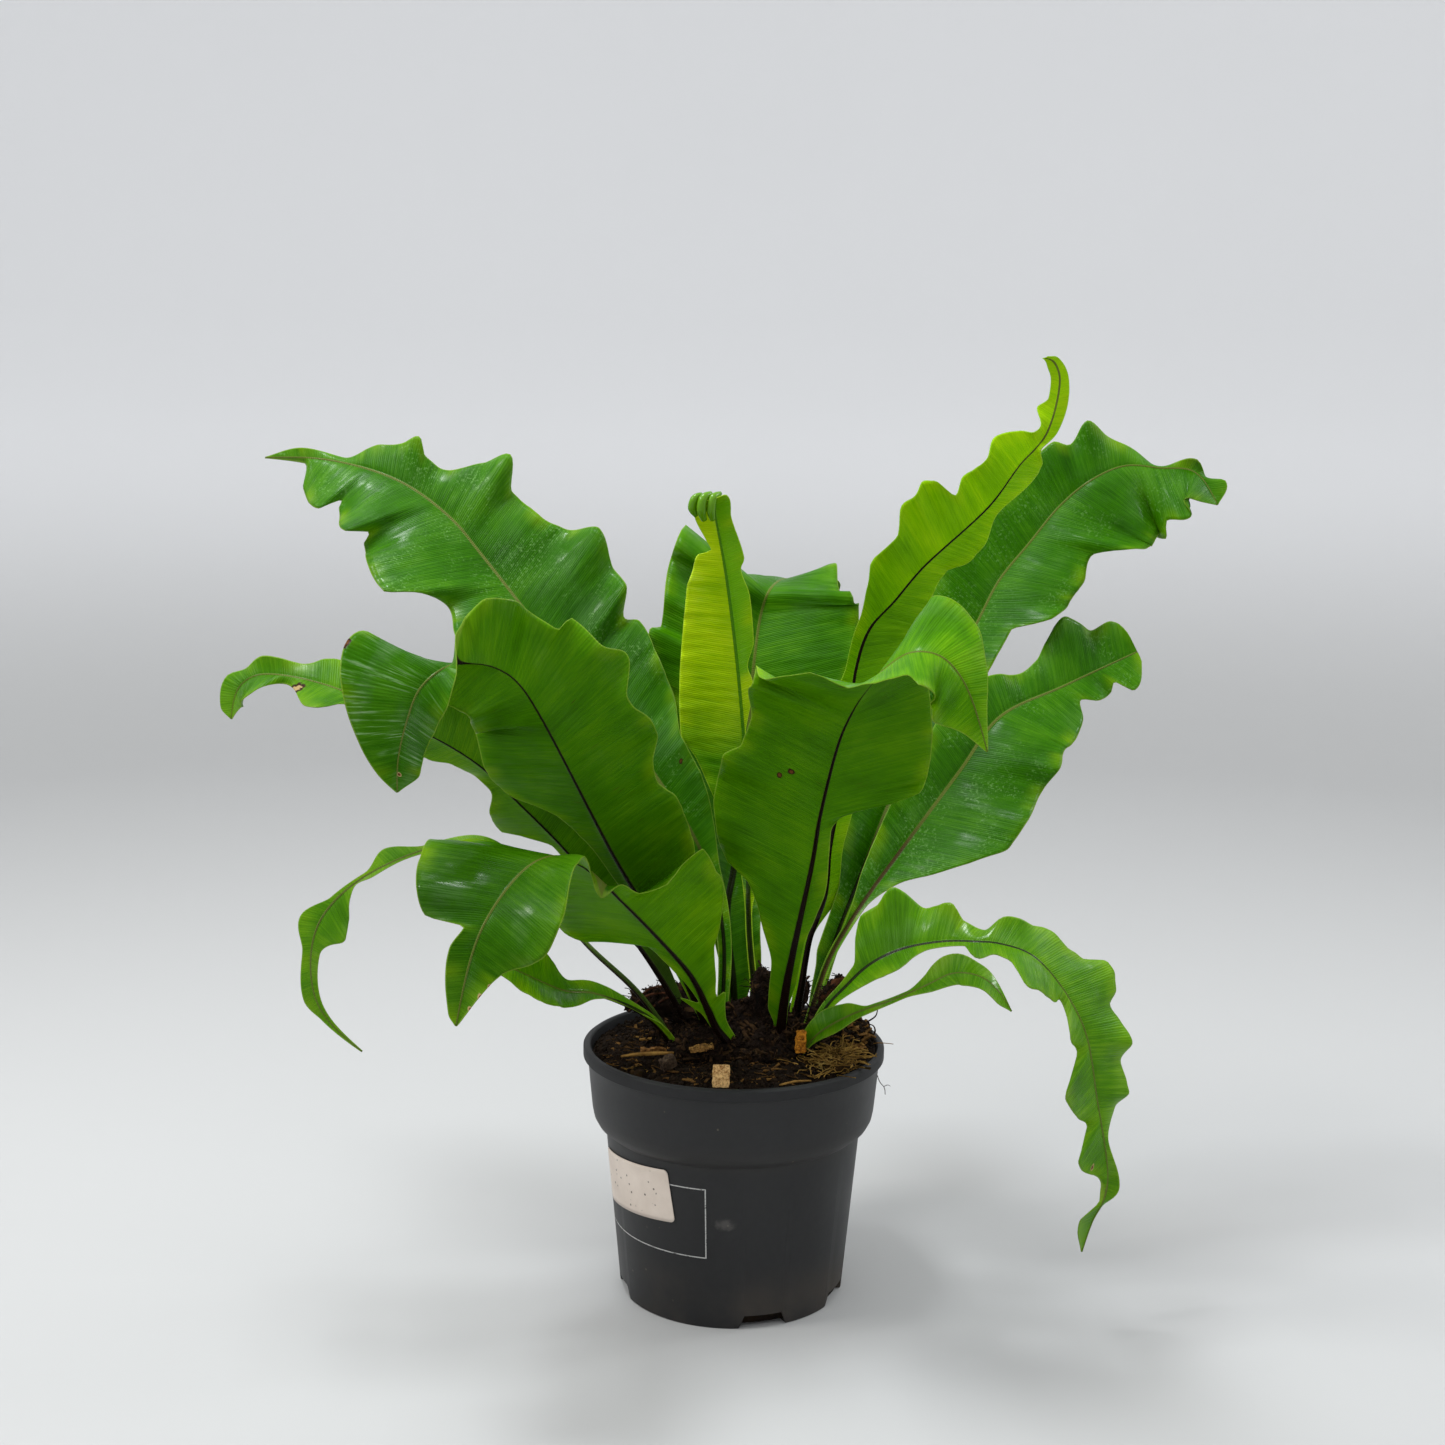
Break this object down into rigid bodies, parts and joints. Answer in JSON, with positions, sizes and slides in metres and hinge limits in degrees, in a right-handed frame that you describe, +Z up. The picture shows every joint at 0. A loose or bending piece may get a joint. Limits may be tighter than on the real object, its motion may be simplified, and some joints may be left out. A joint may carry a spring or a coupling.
{
  "type": "potted fern",
  "caption": "Bird's nest fern with long waved strap fronds that rise and arch from a dark crown in a round plastic nursery pot full of soil.",
  "frame": {"origin": "centre of the pot's flat base, on the surface that it stands on", "axes": "+Z up along the pot's axis, -Y towards the side that the picture shows, +X to its right"},
  "size_m": [0.5704, 0.3487, 0.5247],
  "materials": {
    "pot_plastic": "matte",
    "label_paper": "matte",
    "soil": "rough",
    "crown_fibre": "rough",
    "leaf": "satin",
    "young_leaf": "satin",
    "wood_bits": "rough",
    "coir": "rough"
  },
  "bodies": {
    "root": {"pot": "pot_plastic", "label": "label_paper", "soil": "soil", "crown": "crown_fibre", "frond_high_left": "leaf", "frond_front_left": "leaf", "frond_mid_left": "leaf", "frond_low_left": "leaf", "frond_small_left": "young_leaf", "frond_trailing_left": "leaf", "frond_young_centre": "young_leaf", "frond_young_right": "young_leaf", "frond_high_right": "leaf", "frond_mid_right": "leaf", "frond_front_right": "leaf", "frond_drooping_right": "leaf", "frond_small_right": "young_leaf", "frond_back": "leaf", "wood_chip_pale": "wood_bits", "wood_chip_orange": "wood_bits", "wood_chip_left": "wood_bits", "wood_chip_middle": "wood_bits", "bark_lump": "wood_bits", "coir_tuft": "coir"}
  },
  "joints": []
}
